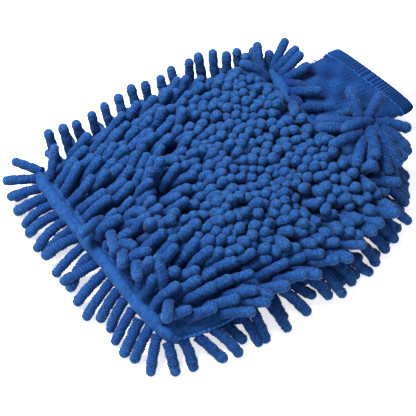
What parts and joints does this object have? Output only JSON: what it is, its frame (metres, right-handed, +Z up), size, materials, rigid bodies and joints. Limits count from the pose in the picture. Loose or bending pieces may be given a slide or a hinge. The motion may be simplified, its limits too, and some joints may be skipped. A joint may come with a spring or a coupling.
{
  "type": "chenille wash mitt",
  "caption": "Flat cloth wash mitt covered on both faces with chenille noodles, open at an elastic rib-knit cuff that bends at the wrist.",
  "frame": {"origin": "under the middle of the mitt, on the surface it lies on", "axes": "+X from the finger end to the cuff, +Y across the hand away from the gathered shoulder, +Z up"},
  "size_m": [0.2964, 0.238, 0.0479],
  "materials": {
    "chenille": "soft pile, matt",
    "base_cloth": "short brushed knit, matt",
    "lining_cloth": "smooth woven, matt",
    "rib_knit": "ribbed knit, matt",
    "elastic": "covered rubber tape, matt",
    "sewing_thread": "spun polyester, slight sheen"
  },
  "bodies": {
    "mitt_body": {"bottom_base_cloth": "base_cloth", "bottom_lining": "lining_cloth", "bottom_noodle_row_01": "chenille", "bottom_noodle_row_02": "chenille", "bottom_noodle_row_03": "chenille", "bottom_noodle_row_04": "chenille", "bottom_noodle_row_05": "chenille", "bottom_noodle_row_06": "chenille", "bottom_noodle_row_07": "chenille", "bottom_noodle_row_08": "chenille", "bottom_noodle_row_09": "chenille", "bottom_noodle_row_10": "chenille", "bottom_noodle_row_11": "chenille", "bottom_noodle_row_12": "chenille", "bottom_noodle_row_13": "chenille", "bottom_noodle_row_14": "chenille", "bottom_noodle_row_15": "chenille", "far_corner_noodles": "chenille", "far_shoulder_fringe": "chenille", "far_side_seam": "base_cloth", "finger_end_strip": "base_cloth", "near_corner_noodles": "chenille", "near_shoulder_fringe": "chenille", "near_side_seam": "base_cloth", "shoulder_gather": "base_cloth", "shoulder_noodles": "chenille", "top_base_cloth": "base_cloth", "top_lining": "lining_cloth", "top_noodle_row_01": "chenille", "top_noodle_row_02": "chenille", "top_noodle_row_03": "chenille", "top_noodle_row_04": "chenille", "top_noodle_row_05": "chenille", "top_noodle_row_06": "chenille", "top_noodle_row_07": "chenille", "top_noodle_row_08": "chenille", "top_noodle_row_09": "chenille", "top_noodle_row_10": "chenille", "top_noodle_row_11": "chenille", "top_noodle_row_12": "chenille", "top_noodle_row_13": "chenille", "top_noodle_row_14": "chenille", "top_noodle_row_15": "chenille", "wrist_end_roll": "base_cloth", "wrist_seam_band": "base_cloth"},
    "cuff": {"cuff_knit": "rib_knit", "cuff_welt": "rib_knit", "cuff_elastic": "elastic", "hem_overlock_thread": "sewing_thread", "cuff_side_overlock": "sewing_thread"},
    "finger_fringe_row": {"finger_fringe": "chenille"},
    "near_fringe_row": {"near_side_fringe": "chenille"},
    "far_fringe_row": {"far_side_fringe": "chenille"}
  },
  "joints": [
    {"name": "wrist_bend", "type": "hinge", "parent": "mitt_body", "child": "cuff", "pos_m": [0.09024, 0.0195, 0.021], "axis": [0, -1, 0], "range_deg": [-30, 30], "stiffness_Nm_per_rad": 0.12},
    {"name": "finger_fringe_lift", "type": "hinge", "parent": "mitt_body", "child": "finger_fringe_row", "pos_m": [-0.12406, 0, 0.014], "axis": [0, 1, 0], "range_deg": [0, 55]},
    {"name": "near_fringe_lift", "type": "hinge", "parent": "mitt_body", "child": "near_fringe_row", "pos_m": [-0.035, -0.0948, 0.014], "axis": [-1, 0, 0], "range_deg": [0, 55]},
    {"name": "far_fringe_lift", "type": "hinge", "parent": "mitt_body", "child": "far_fringe_row", "pos_m": [-0.03, 0.0948, 0.014], "axis": [1, 0, 0], "range_deg": [0, 55]}
  ]
}
